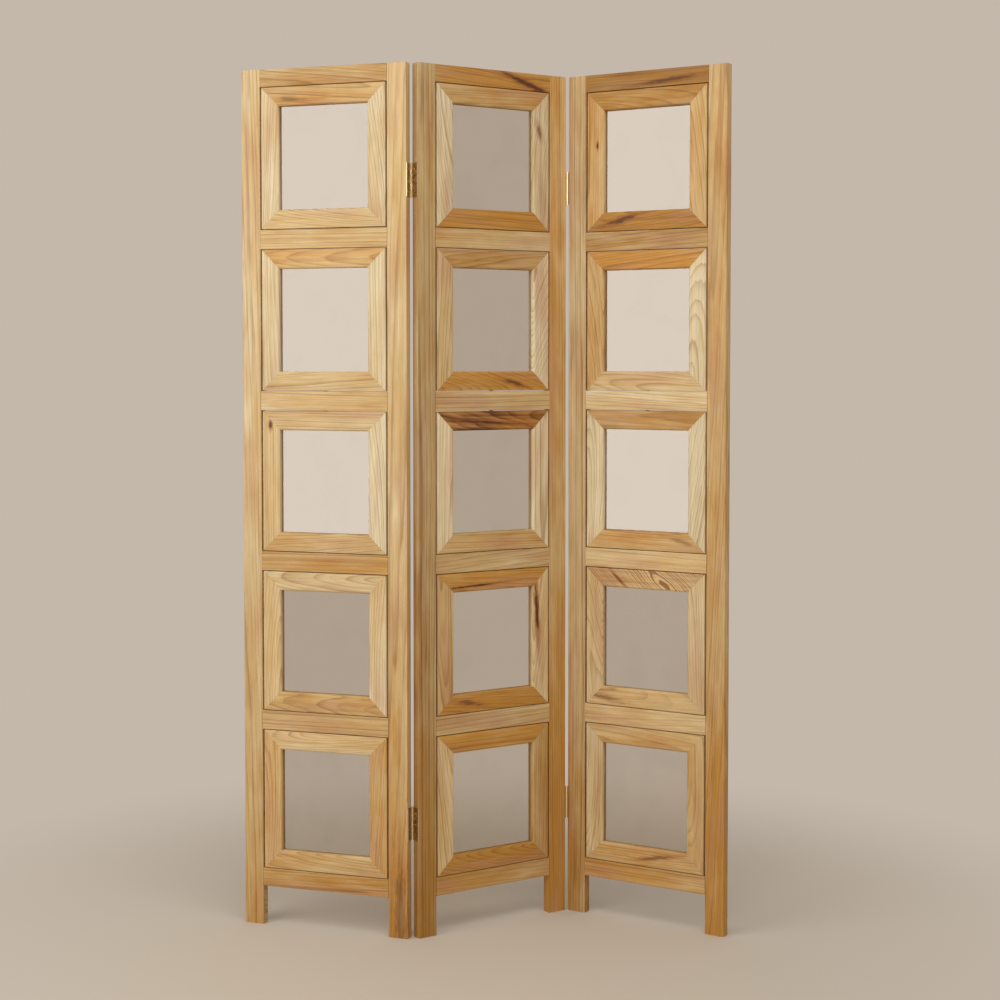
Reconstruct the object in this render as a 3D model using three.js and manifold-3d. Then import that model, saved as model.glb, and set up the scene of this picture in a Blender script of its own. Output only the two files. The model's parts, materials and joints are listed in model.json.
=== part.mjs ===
// A folding room divider screen in light untreated wood. Three tall panels stand in a zigzag on their
// own legs. Each panel is a ladder of two stiles and six rails, and each of its five openings holds a
// mitred picture frame with a clear pane, which turns all the way round on an upper and a lower dowel.
// Two brass butt hinges join each pair of neighbouring panels.
// Millimetres, +Z up. X runs along the screen, from left to right as seen from the front, and +Y is
// towards the back. The origin is on the floor, under the middle of the standing screen.
import * as THREE from 'three';
import { mergeVertices } from 'three/addons/utils/BufferGeometryUtils.js';
import Module from 'manifold-3d';

// Screen and panels
const SCREEN_HEIGHT = 1700;
const PANEL_WIDTH = 350;
const PANEL_THICKNESS = 20;
const LEFT_PANEL_TURN = THREE.MathUtils.degToRad(-18.8);
const MIDDLE_PANEL_TURN = THREE.MathUtils.degToRad(33.5);
const RIGHT_PANEL_TURN = THREE.MathUtils.degToRad(-31.6);

// Stiles and rails
const STILE_WIDTH = 40;
const TOP_RAIL_HEIGHT = 34;
const MIDDLE_RAIL_HEIGHT = 38;
const BOTTOM_RAIL_HEIGHT = 36;
const LEG_HEIGHT = 78;
const EASED_EDGE = 0.8;
const JOINT_CLEARANCE = 0.3;
const TENON_LENGTH = 22;
const TENON_THICKNESS = 8;
const TENON_SHOULDER = 5;

// Picture frames and their dowels
const FRAMES_PER_PANEL = 5;
const FRAME_SIDE_GAP = 3.5;
const FRAME_END_GAP = 1.5;
const FRAME_THICKNESS = 20;
const FRAME_BAR_WIDTH = 37.5;
const FRAME_EASED_EDGE = 0.7;
const SIGHT_ROUND_WIDTH = 4.5;
const SIGHT_ROUND_DEPTH = 4;
const SIGHT_ROUND_STEPS = 3;
const GROOVE_WIDTH = 3.2;
const GROOVE_DEPTH = 6;
const PANE_THICKNESS = 2.6;
const PANE_EDGE_CLEARANCE = 0.5;
const DOWEL_RADIUS = 4;
const DOWEL_CLEARANCE = 0.3;
const DOWEL_IN_RAIL = 10;
const DOWEL_IN_BAR = 14;
const DOWEL_SIDES = 16;

// Hinges
const HINGE_LENGTH = 65;
const HINGE_FROM_END = 224;
const KNUCKLES = 5;
const KNUCKLE_RADIUS = 2.4;
const KNUCKLE_GAP = 0.3;
const KNUCKLE_SIDES = 16;
const PIN_RADIUS = 1.2;
const PIN_CLEARANCE = 0.35;
const PIN_HEAD_RADIUS = 1.9;
const PIN_HEAD_HEIGHT = 0.8;
const PIN_FROM_FACE = 2.5;
const PIN_FROM_END_GRAIN = 1.4;
const LEAF_THICKNESS = 0.9;
const LEAF_SEAT_GAP = 0.25;
const LEAF_EDGE_MARGIN = 0.8;
const LEAF_IN_KNUCKLE = 0.6;
const SCREW_HOLES = 3;
const SCREW_HOLE_RADIUS = 1.7;
const SCREW_HOLE_SIDES = 12;

// One length that every cut runs past the faces it opens
const CUT_OVERRUN = 2;

// Worked out from the sizes above
const HALF_THICKNESS = PANEL_THICKNESS / 2;
const RAIL_LENGTH = PANEL_WIDTH - 2 * STILE_WIDTH;
const RAILS_HEIGHT = TOP_RAIL_HEIGHT + (FRAMES_PER_PANEL - 1) * MIDDLE_RAIL_HEIGHT + BOTTOM_RAIL_HEIGHT;
const OPENING_HEIGHT = (SCREEN_HEIGHT - LEG_HEIGHT - RAILS_HEIGHT) / FRAMES_PER_PANEL;
const FRAME_WIDTH = RAIL_LENGTH - 2 * FRAME_SIDE_GAP;
const FRAME_HEIGHT = OPENING_HEIGHT - 2 * FRAME_END_GAP;
const SIGHT_WIDTH = FRAME_WIDTH - 2 * FRAME_BAR_WIDTH;
const SIGHT_HEIGHT = FRAME_HEIGHT - 2 * FRAME_BAR_WIDTH;

const STRAW = '#d8b682';
const TAN = '#c19a68';
const OAT = '#cda673';
const BRASS = '#b98d45';
const CLEAR = '#e4e4dc';

const wasm = await Module();
wasm.setup();

function solidOf(geometry) {
  const bare = new THREE.BufferGeometry();
  bare.setAttribute('position', geometry.getAttribute('position').clone());
  bare.setIndex(geometry.getIndex());
  const joined = mergeVertices(bare);
  const vertProperties = Float32Array.from(joined.getAttribute('position').array);
  const triVerts = Uint32Array.from(joined.getIndex().array);
  return new wasm.Manifold(new wasm.Mesh({ numProp: 3, vertProperties, triVerts }));
}

function geometryOf(solid) {
  const { vertProperties, triVerts } = solid.getMesh();
  const geometry = new THREE.BufferGeometry();
  geometry.setAttribute('position', new THREE.BufferAttribute(vertProperties, 3));
  geometry.setIndex(new THREE.BufferAttribute(triVerts, 1));
  const faceted = geometry.toNonIndexed();
  faceted.computeVertexNormals();
  return faceted;
}

// A block between two corners
function block(x0, x1, y0, y1, z0, z1) {
  const geometry = new THREE.BoxGeometry(x1 - x0, y1 - y0, z1 - z0);
  geometry.translate((x0 + x1) / 2, (y0 + y1) / 2, (z0 + z1) / 2);
  return solidOf(geometry);
}

// An upright round bar on the axis at x, y
function upright(radius, x, y, z0, z1, sides) {
  const geometry = new THREE.CylinderGeometry(radius, radius, z1 - z0, sides);
  geometry.rotateX(Math.PI / 2);
  geometry.translate(x, y, (z0 + z1) / 2);
  return solidOf(geometry);
}

// A board's section, centred, with its four long edges eased
function easedSection(width, thickness) {
  const halfWidth = width / 2;
  const halfDepth = thickness / 2;
  const section = new THREE.Shape();
  section.moveTo(-halfWidth + EASED_EDGE, -halfDepth);
  section.lineTo(halfWidth - EASED_EDGE, -halfDepth);
  section.lineTo(halfWidth, -halfDepth + EASED_EDGE);
  section.lineTo(halfWidth, halfDepth - EASED_EDGE);
  section.lineTo(halfWidth - EASED_EDGE, halfDepth);
  section.lineTo(-halfWidth + EASED_EDGE, halfDepth);
  section.lineTo(-halfWidth, halfDepth - EASED_EDGE);
  section.lineTo(-halfWidth, -halfDepth + EASED_EDGE);
  section.closePath();
  return section;
}

// The rails of one panel from top to bottom. Each has the heights of its lower and upper edge, and says
// whether a frame hangs from it and whether one stands on it.
const RAILS = [];
{
  let top = SCREEN_HEIGHT;
  for (let n = 0; n <= FRAMES_PER_PANEL; n += 1) {
    const isTop = n === 0;
    const isBottom = n === FRAMES_PER_PANEL;
    let height = MIDDLE_RAIL_HEIGHT;
    if (isTop) height = TOP_RAIL_HEIGHT;
    if (isBottom) height = BOTTOM_RAIL_HEIGHT;
    RAILS.push({ low: top - height, high: top, holdsBelow: !isBottom, holdsAbove: !isTop });
    top -= height + OPENING_HEIGHT;
  }
}

// A stile, with a mortise in its inner face for each rail that is tenoned into it
function stile(side, rails) {
  const geometry = new THREE.ExtrudeGeometry(easedSection(STILE_WIDTH, PANEL_THICKNESS), {
    depth: SCREEN_HEIGHT,
    bevelEnabled: false,
  });
  const isLeft = side === 'left';
  const centre = isLeft ? STILE_WIDTH / 2 : PANEL_WIDTH - STILE_WIDTH / 2;
  geometry.translate(centre, 0, 0);
  let wood = solidOf(geometry);
  const reach = TENON_LENGTH + JOINT_CLEARANCE;
  const start = isLeft ? STILE_WIDTH - reach : PANEL_WIDTH - STILE_WIDTH - CUT_OVERRUN;
  const halfSlot = TENON_THICKNESS / 2 + JOINT_CLEARANCE;
  for (const rail of rails) {
    const low = rail.low + TENON_SHOULDER - JOINT_CLEARANCE;
    const high = rail.high - TENON_SHOULDER + JOINT_CLEARANCE;
    wood = wood.subtract(block(start, start + reach + CUT_OVERRUN, -halfSlot, halfSlot, low, high));
  }
  return wood;
}

// A rail with a tenon at each end, and a blind hole for each dowel that turns in it
function railSolid(rail, joinedLeft) {
  const height = rail.high - rail.low;
  const left = STILE_WIDTH + (joinedLeft ? -CUT_OVERRUN : JOINT_CLEARANCE);
  const right = PANEL_WIDTH - STILE_WIDTH - JOINT_CLEARANCE;
  const geometry = new THREE.ExtrudeGeometry(easedSection(height, PANEL_THICKNESS), {
    depth: right - left,
    bevelEnabled: false,
  });
  geometry.rotateY(Math.PI / 2);
  geometry.translate(left, 0, (rail.low + rail.high) / 2);
  let wood = solidOf(geometry);
  const tenonLeft = joinedLeft ? STILE_WIDTH : STILE_WIDTH - TENON_LENGTH;
  const tenonRight = PANEL_WIDTH - STILE_WIDTH + TENON_LENGTH;
  const tenonLow = rail.low + TENON_SHOULDER;
  const tenonHigh = rail.high - TENON_SHOULDER;
  const halfTenon = TENON_THICKNESS / 2;
  wood = wood.add(block(tenonLeft, tenonRight, -halfTenon, halfTenon, tenonLow, tenonHigh));
  const hole = DOWEL_RADIUS + DOWEL_CLEARANCE;
  const holeDepth = DOWEL_IN_RAIL + JOINT_CLEARANCE;
  const middle = PANEL_WIDTH / 2;
  if (rail.holdsBelow) {
    const low = rail.low - CUT_OVERRUN;
    wood = wood.subtract(upright(hole, middle, 0, low, rail.low + holeDepth, DOWEL_SIDES));
  }
  if (rail.holdsAbove) {
    const high = rail.high + CUT_OVERRUN;
    wood = wood.subtract(upright(hole, middle, 0, rail.high - holeDepth, high, DOWEL_SIDES));
  }
  return wood;
}

// Half of a frame bar's section, as [distance in from the outer edge, depth from the middle plane]:
// eased outer edge, flat face, rounded sight edge, and the groove that holds the pane
function halfBarSection() {
  const face = FRAME_THICKNESS / 2;
  const points = [[0, face - FRAME_EASED_EDGE], [FRAME_EASED_EDGE, face]];
  for (let step = 0; step <= SIGHT_ROUND_STEPS; step += 1) {
    const turn = (step / SIGHT_ROUND_STEPS) * (Math.PI / 2);
    points.push([
      FRAME_BAR_WIDTH - SIGHT_ROUND_WIDTH * (1 - Math.sin(turn)),
      face - SIGHT_ROUND_DEPTH * (1 - Math.cos(turn)),
    ]);
  }
  points.push([FRAME_BAR_WIDTH, GROOVE_WIDTH / 2]);
  points.push([FRAME_BAR_WIDTH - GROOVE_DEPTH, GROOVE_WIDTH / 2]);
  return points;
}

// The four mitred and glued bars of a picture frame, with its upper and lower dowel, centred on its middle
function pictureFrame() {
  const front = halfBarSection().map(([across, depth]) => [across, -depth]);
  const back = halfBarSection().reverse();
  const section = [...front, ...back];
  const corners = [[-1, -1], [1, -1], [1, 1], [-1, 1]];
  const places = [];
  for (const [sideways, up] of corners) {
    for (const [across, depth] of section) {
      places.push(sideways * (FRAME_WIDTH / 2 - across), depth, up * (FRAME_HEIGHT / 2 - across));
    }
  }
  const faces = [];
  const count = section.length;
  for (let corner = 0; corner < corners.length; corner += 1) {
    const here = corner * count;
    const next = ((corner + 1) % corners.length) * count;
    for (let n = 0; n < count; n += 1) {
      const m = (n + 1) % count;
      faces.push(here + n, next + n, next + m, here + n, next + m, here + m);
    }
  }
  const geometry = new THREE.BufferGeometry();
  geometry.setAttribute('position', new THREE.Float32BufferAttribute(places, 3));
  geometry.setIndex(faces);
  let wood = solidOf(geometry);
  const inner = FRAME_HEIGHT / 2 - DOWEL_IN_BAR;
  const outer = FRAME_HEIGHT / 2 + FRAME_END_GAP + DOWEL_IN_RAIL;
  wood = wood.add(upright(DOWEL_RADIUS, 0, 0, inner, outer, DOWEL_SIDES));
  return wood.add(upright(DOWEL_RADIUS, 0, 0, -outer, -inner, DOWEL_SIDES));
}

// The clear pane, let into the groove on all four sides
function pane() {
  const grip = GROOVE_DEPTH - PANE_EDGE_CLEARANCE;
  return new THREE.BoxGeometry(SIGHT_WIDTH + 2 * grip, PANE_THICKNESS, SIGHT_HEIGHT + 2 * grip);
}

// One half of a butt hinge, about its pin's axis, with its panel on the side given: -1 left or 1 right.
// The half with the pin has the first, third and fifth knuckle, and the other half turns on the pin.
function hingeHalf(side, hasPin) {
  const half = HINGE_LENGTH / 2;
  const pitch = HINGE_LENGTH / KNUCKLES;
  const near = PIN_FROM_END_GRAIN - LEAF_SEAT_GAP - LEAF_THICKNESS;
  const far = near + LEAF_THICKNESS;
  const plateStart = -(PIN_FROM_FACE + PANEL_THICKNESS - LEAF_EDGE_MARGIN);
  const plateEnd = -(KNUCKLE_RADIUS - LEAF_IN_KNUCKLE);
  const x0 = side < 0 ? -far : near;
  const x1 = side < 0 ? -near : far;
  let metal = block(x0, x1, plateStart, plateEnd, -half, half);
  const notchStart = -(KNUCKLE_RADIUS + KNUCKLE_GAP);
  for (let n = 0; n < KNUCKLES; n += 1) {
    const low = -half + n * pitch;
    const high = low + pitch;
    const isMine = (n % 2 === 0) === hasPin;
    const endLow = n === 0 ? low - CUT_OVERRUN : low - KNUCKLE_GAP / 2;
    const endHigh = n === KNUCKLES - 1 ? high + CUT_OVERRUN : high + KNUCKLE_GAP / 2;
    if (isMine) {
      const tubeLow = n === 0 ? low : low + KNUCKLE_GAP / 2;
      const tubeHigh = n === KNUCKLES - 1 ? high : high - KNUCKLE_GAP / 2;
      metal = metal.add(upright(KNUCKLE_RADIUS, 0, 0, tubeLow, tubeHigh, KNUCKLE_SIDES));
    } else {
      const x0Cut = -far - CUT_OVERRUN;
      const x1Cut = far + CUT_OVERRUN;
      metal = metal.subtract(block(x0Cut, x1Cut, notchStart, CUT_OVERRUN, endLow, endHigh));
    }
  }
  if (hasPin) {
    const head = half + PIN_HEAD_HEIGHT;
    metal = metal.add(upright(PIN_RADIUS, 0, 0, -half, half, KNUCKLE_SIDES));
    metal = metal.add(upright(PIN_HEAD_RADIUS, 0, 0, half - PIN_HEAD_HEIGHT, head, KNUCKLE_SIDES));
    metal = metal.add(upright(PIN_HEAD_RADIUS, 0, 0, -head, PIN_HEAD_HEIGHT - half, KNUCKLE_SIDES));
  } else {
    const bore = PIN_RADIUS + PIN_CLEARANCE;
    const past = half + CUT_OVERRUN;
    metal = metal.subtract(upright(bore, 0, 0, -past, past, KNUCKLE_SIDES));
  }
  const middle = -(PIN_FROM_FACE + HALF_THICKNESS);
  for (let n = 0; n < SCREW_HOLES; n += 1) {
    const z = -half + (n + 1 / 2) * (HINGE_LENGTH / SCREW_HOLES);
    const drill = new THREE.CylinderGeometry(
      SCREW_HOLE_RADIUS,
      SCREW_HOLE_RADIUS,
      2 * (far + CUT_OVERRUN),
      SCREW_HOLE_SIDES,
    );
    drill.rotateZ(Math.PI / 2);
    drill.translate(0, middle, z);
    metal = metal.subtract(solidOf(drill));
  }
  return geometryOf(metal);
}

function named(name, geometry, material) {
  const mesh = new THREE.Mesh(geometry, material);
  mesh.name = name;
  return mesh;
}

const clear = new THREE.MeshStandardMaterial({
  color: CLEAR,
  roughness: 0.05,
  metalness: 0,
  transparent: true,
  opacity: 0.25,
});
const brass = new THREE.MeshStandardMaterial({ color: BRASS, roughness: 0.35, metalness: 1 });

// A panel with its front face towards -Y, its lower left corner at the origin and its middle plane at y = 0
function panel(label, colour) {
  const group = new THREE.Group();
  const wood = new THREE.MeshStandardMaterial({ color: colour, roughness: 0.6, metalness: 0 });
  const [topRail, ...lowerRails] = RAILS;
  const leftStile = stile('left', lowerRails).add(railSolid(topRail, true));
  group.add(named(`${label}_left_stile_and_top_rail`, geometryOf(leftStile), wood));
  group.add(named(`${label}_right_stile`, geometryOf(stile('right', RAILS)), wood));
  lowerRails.forEach((rail, n) => {
    const isBottom = n === lowerRails.length - 1;
    const name = isBottom ? `${label}_bottom_rail` : `${label}_middle_rail_${n + 1}`;
    group.add(named(name, geometryOf(railSolid(rail, false)), wood));
  });
  for (let n = 0; n < FRAMES_PER_PANEL; n += 1) {
    const unit = new THREE.Group();
    unit.position.set(PANEL_WIDTH / 2, 0, (RAILS[n].low + RAILS[n + 1].high) / 2);
    unit.add(named(`${label}_picture_frame_${n + 1}`, geometryOf(pictureFrame()), wood));
    unit.add(named(`${label}_pane_${n + 1}`, pane(), clear));
    group.add(unit);
  }
  return group;
}

// Adds an upper and a lower hinge half to one end of a panel. The pin lies behind the panel (1) or
// before it (-1).
function addHingeHalves(group, fold, leaf, end, pinSide, hasPin) {
  const panelSide = end === 'right' ? -1 : 1;
  const x = end === 'right' ? PANEL_WIDTH + PIN_FROM_END_GRAIN : -PIN_FROM_END_GRAIN;
  const heights = { upper: SCREEN_HEIGHT - HINGE_FROM_END, lower: HINGE_FROM_END };
  for (const [level, z] of Object.entries(heights)) {
    const half = named(`${fold}_${level}_hinge_${leaf}`, hingeHalf(panelSide * pinSide, hasPin), brass);
    half.position.set(x, pinSide * (HALF_THICKNESS + PIN_FROM_FACE), z);
    half.rotation.z = pinSide > 0 ? 0 : Math.PI;
    group.add(half);
  }
}

// Turns a panel upright about Z, then moves it so that its point on the pin axis meets the place given
function standAt(group, turn, pinX, pinY, place) {
  group.rotation.z = turn;
  const pin = new THREE.Vector2(pinX, pinY).rotateAround(new THREE.Vector2(), turn);
  group.position.set(place.x - pin.x, place.y - pin.y, 0);
}

const leftPanel = panel('left_panel', STRAW);
const middlePanel = panel('middle_panel', TAN);
const rightPanel = panel('right_panel', OAT);
addHingeHalves(leftPanel, 'left_fold', 'pin_leaf', 'right', 1, true);
addHingeHalves(middlePanel, 'left_fold', 'leaf', 'left', 1, false);
addHingeHalves(middlePanel, 'right_fold', 'leaf', 'right', -1, false);
addHingeHalves(rightPanel, 'right_fold', 'pin_leaf', 'left', -1, true);

// The left fold's pin is behind the panels, and the right fold's pin is before them
const pinDepth = HALF_THICKNESS + PIN_FROM_FACE;
const pinBeyond = PANEL_WIDTH + PIN_FROM_END_GRAIN;
const leftPin = new THREE.Vector2(0, 0);
standAt(leftPanel, LEFT_PANEL_TURN, pinBeyond, pinDepth, leftPin);
standAt(middlePanel, MIDDLE_PANEL_TURN, -PIN_FROM_END_GRAIN, pinDepth, leftPin);
const rightPin = new THREE.Vector2(pinBeyond, -pinDepth)
  .rotateAround(new THREE.Vector2(), MIDDLE_PANEL_TURN)
  .add(new THREE.Vector2(middlePanel.position.x, middlePanel.position.y));
standAt(rightPanel, RIGHT_PANEL_TURN, -PIN_FROM_END_GRAIN, -pinDepth, rightPin);

const screen = new THREE.Group();
screen.add(leftPanel, middlePanel, rightPanel);
const centre = new THREE.Box3().setFromObject(screen, true).getCenter(new THREE.Vector3());
screen.position.set(-centre.x, -centre.y, 0);

export default screen;
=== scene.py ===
import json
import math
import random

import bmesh
import bpy
from mathutils import Matrix, Vector

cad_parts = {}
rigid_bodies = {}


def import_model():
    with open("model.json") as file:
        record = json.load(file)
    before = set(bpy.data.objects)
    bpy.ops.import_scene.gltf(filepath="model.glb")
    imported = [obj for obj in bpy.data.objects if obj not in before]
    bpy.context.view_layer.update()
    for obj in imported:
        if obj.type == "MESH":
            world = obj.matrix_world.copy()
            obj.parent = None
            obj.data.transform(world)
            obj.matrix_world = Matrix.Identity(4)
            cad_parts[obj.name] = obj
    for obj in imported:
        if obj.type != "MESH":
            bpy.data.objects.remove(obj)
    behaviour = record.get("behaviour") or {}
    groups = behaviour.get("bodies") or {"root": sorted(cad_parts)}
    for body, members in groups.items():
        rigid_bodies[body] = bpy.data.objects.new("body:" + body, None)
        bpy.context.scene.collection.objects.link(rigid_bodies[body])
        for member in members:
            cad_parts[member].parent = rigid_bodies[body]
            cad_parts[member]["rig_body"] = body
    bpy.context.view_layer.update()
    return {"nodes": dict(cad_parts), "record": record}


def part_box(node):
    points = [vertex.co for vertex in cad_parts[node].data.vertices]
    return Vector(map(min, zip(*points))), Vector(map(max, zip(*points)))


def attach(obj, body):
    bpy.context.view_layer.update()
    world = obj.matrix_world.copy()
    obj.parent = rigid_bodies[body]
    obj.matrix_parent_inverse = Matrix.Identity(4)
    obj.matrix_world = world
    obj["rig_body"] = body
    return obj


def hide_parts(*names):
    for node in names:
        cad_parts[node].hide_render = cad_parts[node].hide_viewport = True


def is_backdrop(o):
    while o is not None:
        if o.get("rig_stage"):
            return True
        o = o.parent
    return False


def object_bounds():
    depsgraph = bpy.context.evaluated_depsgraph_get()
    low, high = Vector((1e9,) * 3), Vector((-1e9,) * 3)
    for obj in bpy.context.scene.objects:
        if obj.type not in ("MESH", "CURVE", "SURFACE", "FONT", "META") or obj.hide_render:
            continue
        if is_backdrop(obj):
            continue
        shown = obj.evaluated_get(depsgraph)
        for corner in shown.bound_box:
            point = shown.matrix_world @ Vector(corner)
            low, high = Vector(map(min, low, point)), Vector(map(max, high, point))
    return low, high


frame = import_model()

# Camera. It stands in front of the screen, a little right of its middle, at two thirds of its height, and
# looks down slightly. The shift sets the screen as high in the picture as the photograph has it.
PHOTO_PIXELS = 1000
FOCAL_PIXELS = 1860
RISE_PIXELS = 60
SENSOR = 36.0
LENS_ACROSS = 0.032
LENS_AWAY = 3.693
LENS_HEIGHT = 1.125
LOOKS_DOWN = math.radians(2.39)

lens = bpy.data.cameras.new("camera")
lens.sensor_width = SENSOR
lens.lens = SENSOR * FOCAL_PIXELS / PHOTO_PIXELS
lens.shift_y = -RISE_PIXELS / PHOTO_PIXELS
camera = bpy.data.objects.new("camera", lens)
camera.location = (LENS_ACROSS, -LENS_AWAY, LENS_HEIGHT)
camera.rotation_euler = (math.pi / 2 - LOOKS_DOWN, 0.0, 0.0)
bpy.context.scene.collection.objects.link(camera)
bpy.context.scene.camera = camera


# The panels as they stand. Each is a ladder of planed boards on two legs, and the flat undersides of the
# legs, which the record gives as mounts, say where a panel stands and how far it is turned.
PANELS = ("left", "middle", "right")
STILE_WIDTH = 0.040

mounts = {mount["name"]: Vector(mount["pos_m"]) for mount in frame["record"]["mounts"]}
stands = {}
for panel in PANELS:
    left_foot = mounts[f"{panel}_panel_left_foot"]
    right_foot = mounts[f"{panel}_panel_right_foot"]
    run = right_foot - left_foot
    turned = Matrix.Rotation(math.atan2(run.y, run.x), 4, "Z")
    stands[panel] = Matrix.Translation((left_foot + right_foot) / 2) @ turned
PANEL_HALF = (run.length + STILE_WIDTH) / 2


# The wood: light, fast-grown and wide-ringed, planed and left bare. Its growth rings show as lines that run
# up the stiles and along the rails, uneven in width and darkness, over straw, golden and rosy patches.


class Flow:
    """One output of a material's nodes. Sums written with it add Math nodes to that material."""

    def __init__(self, nodes, socket):
        self.nodes = nodes
        self.socket = socket

    def maths(self, operation, first, second=0.0):
        return self.nodes.add("ShaderNodeMath", {"operation": operation}, {0: first, 1: second})

    def __add__(self, other):
        return self.maths("ADD", self, other)

    def __radd__(self, other):
        return self.maths("ADD", other, self)

    def __sub__(self, other):
        return self.maths("SUBTRACT", self, other)

    def __rsub__(self, other):
        return self.maths("SUBTRACT", other, self)

    def __mul__(self, other):
        return self.maths("MULTIPLY", self, other)

    def __rmul__(self, other):
        return self.maths("MULTIPLY", other, self)

    def __truediv__(self, other):
        return self.maths("DIVIDE", self, other)

    def __pow__(self, other):
        return self.maths("POWER", self, other)

    def __mod__(self, other):
        return self.maths("FLOORED_MODULO", self, other)


class Nodes:
    """The nodes of one material, or of the world. Every node comes from add."""

    # The places of a Mix node's two colours among its inputs, and of the mixed one among its outputs.
    FIRST_COLOUR = 6
    SECOND_COLOUR = 7
    MIXED_COLOUR = 2

    def __init__(self, owner):
        owner.use_nodes = True
        self.owner = owner
        self.tree = owner.node_tree
        self.tree.nodes.clear()

    def add(self, kind, settings=None, values=None, output=0):
        node = self.tree.nodes.new(kind)
        for name, value in (settings or {}).items():
            setattr(node, name, value)
        for key, value in (values or {}).items():
            if isinstance(value, Flow):
                self.tree.links.new(value.socket, node.inputs[key])
            else:
                node.inputs[key].default_value = value
        return Flow(self, node.outputs[output]) if node.outputs else None

    def vector(self, x, y, z):
        return self.add("ShaderNodeCombineXYZ", None, {0: x, 1: y, 2: z})

    def parts(self, vector):
        return [self.add("ShaderNodeSeparateXYZ", None, {0: vector}, part) for part in range(3)]

    def place(self):
        """Where a point lies from the screen's origin, in metres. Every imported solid's object sits there."""
        return self.parts(self.add("ShaderNodeTexCoord", None, None, "Object"))

    def noise(self, x, y, z, detail=1.0):
        place = self.vector(x, y, z)
        return self.add("ShaderNodeTexNoise", None, {"Vector": place, "Scale": 1.0, "Detail": detail})

    def paced(self, place, paces, detail):
        """Noise at a place, with how often it changes in a metre along each axis."""
        return self.noise(*(part * pace for part, pace in zip(place, paces)), detail)

    def rise(self, value, low, high):
        """Goes smoothly from 0 to 1 as the value goes from low to high, or down to high."""
        span = {"Value": value, "From Min": low, "From Max": high}
        return self.add("ShaderNodeMapRange", {"interpolation_type": "SMOOTHSTEP"}, span)

    def blend(self, share, first, second, how="MIX"):
        mixed = {"Factor": share, self.FIRST_COLOUR: first, self.SECOND_COLOUR: second}
        kind = {"data_type": "RGBA", "blend_type": how}
        return self.add("ShaderNodeMix", kind, mixed, self.MIXED_COLOUR)

    def scaled(self, colour, factor):
        return self.add("ShaderNodeVectorMath", {"operation": "SCALE"}, {0: colour, "Scale": factor})

    def bump(self, height, strength, depth):
        return self.add("ShaderNodeBump", None, {"Strength": strength, "Distance": depth, "Height": height})


def paint(code):
    """The linear colour of an sRGB code, #rrggbb."""
    shares = [int(code[n:n + 2], 16) / 255 for n in (1, 3, 5)]
    linear = [s / 12.92 if s <= 0.04045 else ((s + 0.055) / 1.055) ** 2.4 for s in shares]
    return (*linear, 1.0)


CREAM = paint("#e6d6b2")
STRAW = paint("#dabb86")
GOLD = paint("#c89140")
ROSE = paint("#c79370")
RUST = paint("#9c5a26")
HEART = paint("#55301a")
LATE_WOOD = (0.50, 0.38, 0.24, 1.0)

# The rings: how far they sway sideways, in metres, how unevenly they lie along a board and from year to
# year, in rings, and how often in a metre the years differ. A ring darkens as a power of how much of it has
# grown, and ends fast. The palest ring has this much of the late wood's darkness.
SWAY = 0.012
RING_DRIFT = 1.1
RING_UNEVENNESS = 2.4
GROWTH_PACE = 70.0
RING_POWER = 3.0
RING_END = 9.0
PALEST_RING = 0.35

# Each kind of figure is a noise: how often it changes in a metre along the board and in a metre across it,
# how far it is moved along and across, and its detail. The heartwood's has a pace for each way and a skew.
FIGURES = {
    "sway": (2.0, 8.0, 0.0, 0.0, 2.0),
    "drift": (1.3, 55.0, 0.0, 0.0, 2.0),
    "mottle": (3.0, 17.0, 7.0, 0.0, 2.0),
    "blush": (4.0, 25.0, 3.0, 0.0, 2.0),
    "patch": (13.0, 60.0, 0.0, 9.0, 2.0),
    "streak": (2.2, 190.0, 0.0, 0.0, 3.0),
    "ragged": (55.0, 260.0, 0.0, 0.0, 2.0),
    "grain": (14.0, 420.0, 0.0, 0.0, 2.0),
    "fibre": (24.0, 900.0, 0.0, 0.0, 2.0),
    "pores": (70.0, 1700.0, 0.0, 3.0, 1.0),
}
HEARTWOOD_PACES = (5.0, 34.0, 30.0)
HEARTWOOD_SKEW = 20.0
HEARTWOOD_MOVED = 5.0
HEARTWOOD_DETAIL = 3.0

# How much each kind of figure warms the wood, darkens it with late wood's colour, and darkens its heartwood.
MOTTLE_WARMS = 1.1
PATCH_WARMS = 0.6
LATE_DARKENS = 0.72
STREAK_DARKENS = 0.9
PATCH_DARKENS = 0.3
ALL_DARKENED = 0.08
HEARTWOOD_DARKENS = 0.30
LATE_IN_HEARTWOOD = 0.10
STREAK_IN_HEARTWOOD = 0.25

# Between which values each colour sets in, of the wood's warmth, its blush and its darkness, between which
# the pores do, and how much of a colour there is at most.
STRAW_SETS_IN = (-0.25, 0.45)
GOLD_SETS_IN = (0.30, 1.05)
ROSE_SETS_IN = (0.50, 0.72)
RUST_SETS_IN = (0.66, 0.86)
HEART_SETS_IN = (0.78, 0.96)
PORES_SET_IN = (0.60, 0.72)
ROSE_SHARE = 0.45
RUST_SHARE = 0.6
HEART_SHARE = 0.85

# A mark: how far out the grain bends round it, where its rust and its dark middle fade, in halves of its
# size, and how ragged its edge is.
MARK_BENDS = (3.0, 0.0)
MARK_RUST = (2.2, 0.7)
MARK_HEART = (1.1, 0.4)
MARK_RUST_SHARE = 0.8
MARK_RAGGED = 1.6

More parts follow.
